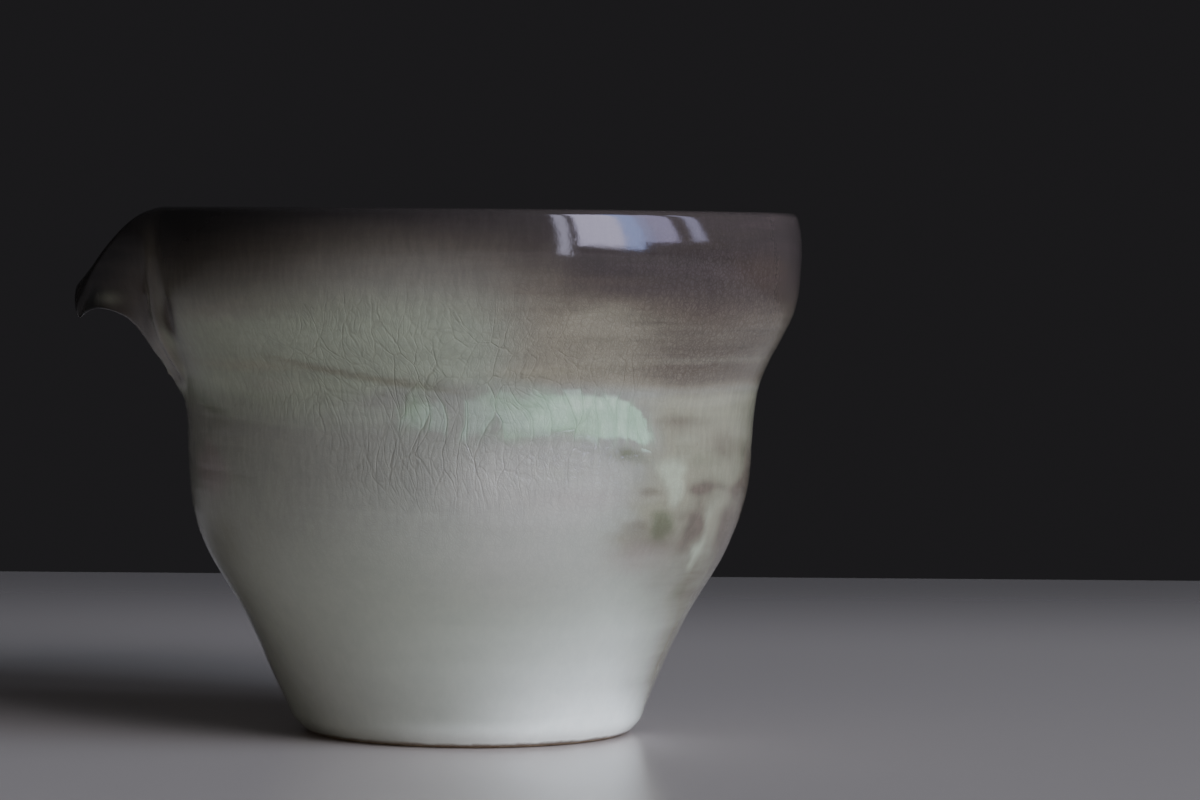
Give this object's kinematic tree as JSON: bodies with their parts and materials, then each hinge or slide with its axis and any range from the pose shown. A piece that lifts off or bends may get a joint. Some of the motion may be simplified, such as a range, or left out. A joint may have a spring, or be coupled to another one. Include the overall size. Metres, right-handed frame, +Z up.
{
  "type": "tea pitcher",
  "caption": "Handmade ceramic tea pitcher: a round waisted bowl on a turned foot, with a pinched beak spout luted into its wall and a glossy crackled glaze inside and out.",
  "frame": {"origin": "centre of the footprint box, on the plane the foot ring stands on; the thrown axis is vertical and stands 4.93 mm from the origin towards +X", "axes": "+Z up; the spout points along -X; the object is its own mirror image across the XZ plane"},
  "size_m": [0.1, 0.0906, 0.0717],
  "materials": {
    "thrown_body": "matt bare stoneware",
    "spout": "matt bare stoneware",
    "spout_seam": "matt dried slip",
    "outer_glaze": "glossy crackled celadon, dark iron-brown at the rim",
    "liner_glaze": "glossy crackled celadon"
  },
  "bodies": {
    "root": {"thrown_body": "thrown_body", "spout": "spout", "spout_seam": "spout_seam", "outer_glaze": "outer_glaze", "liner_glaze": "liner_glaze"}
  },
  "joints": []
}
